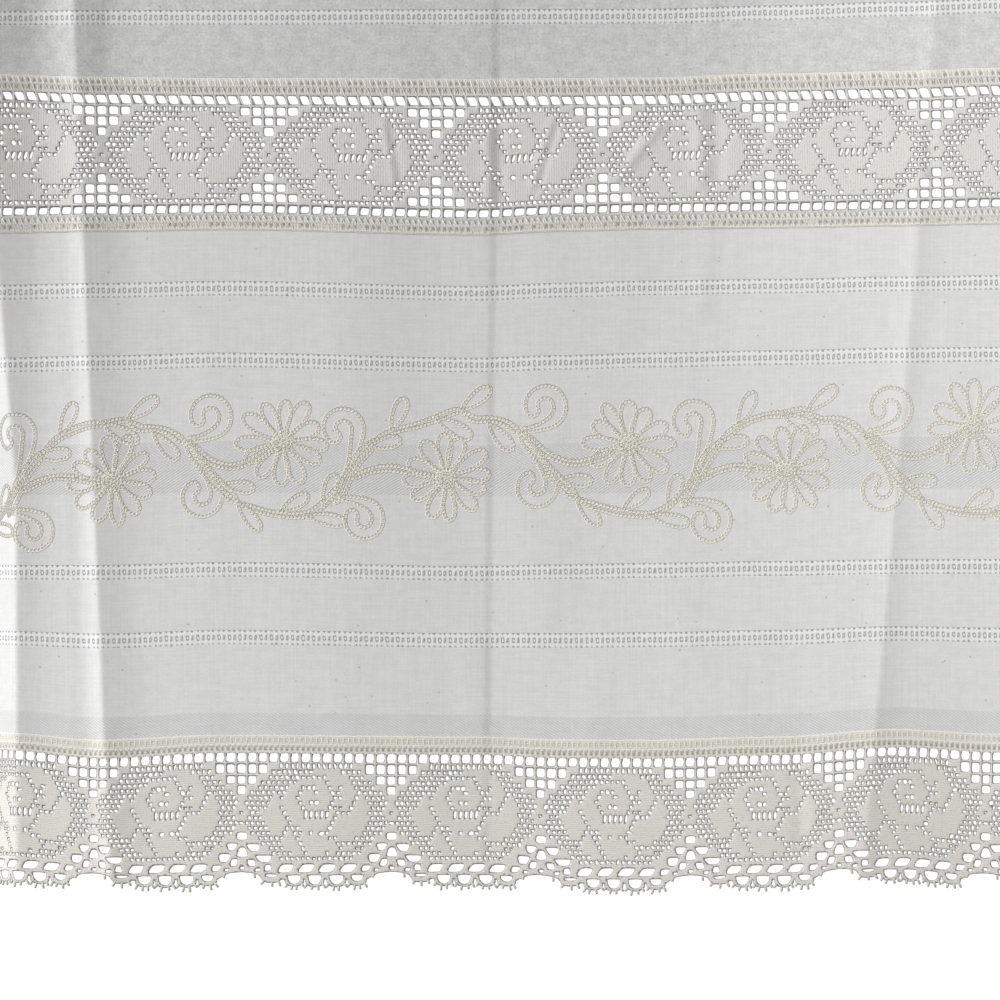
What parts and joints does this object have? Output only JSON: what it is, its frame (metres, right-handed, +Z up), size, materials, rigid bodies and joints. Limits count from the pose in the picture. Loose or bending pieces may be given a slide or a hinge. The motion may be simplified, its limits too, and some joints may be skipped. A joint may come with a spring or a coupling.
{
  "type": "lace-trimmed cotton curtain",
  "caption": "Short hanging cotton panel with a filet lace insertion, drawn-work stripes, an embroidered vine and a scalloped lace edging, its left edge turning back.",
  "frame": {"origin": "middle of the curtain's top edge, at the cloth's middle surface", "axes": "+Z up, -Y out of the front face towards the viewer, +X to the viewer's right"},
  "size_m": [0.6489, 0.0664, 0.6375],
  "materials": {
    "upper_cotton": "plain woven unbleached cotton, matte",
    "insertion_thread": "crocheted cotton thread, matte",
    "lower_cotton": "plain woven unbleached cotton, matte",
    "edging_thread": "crocheted cotton thread, matte"
  },
  "bodies": {
    "root": {"cloth_upper": "upper_cotton", "lace_insertion": "insertion_thread", "cloth_lower": "lower_cotton", "lace_edging": "edging_thread"}
  },
  "joints": []
}
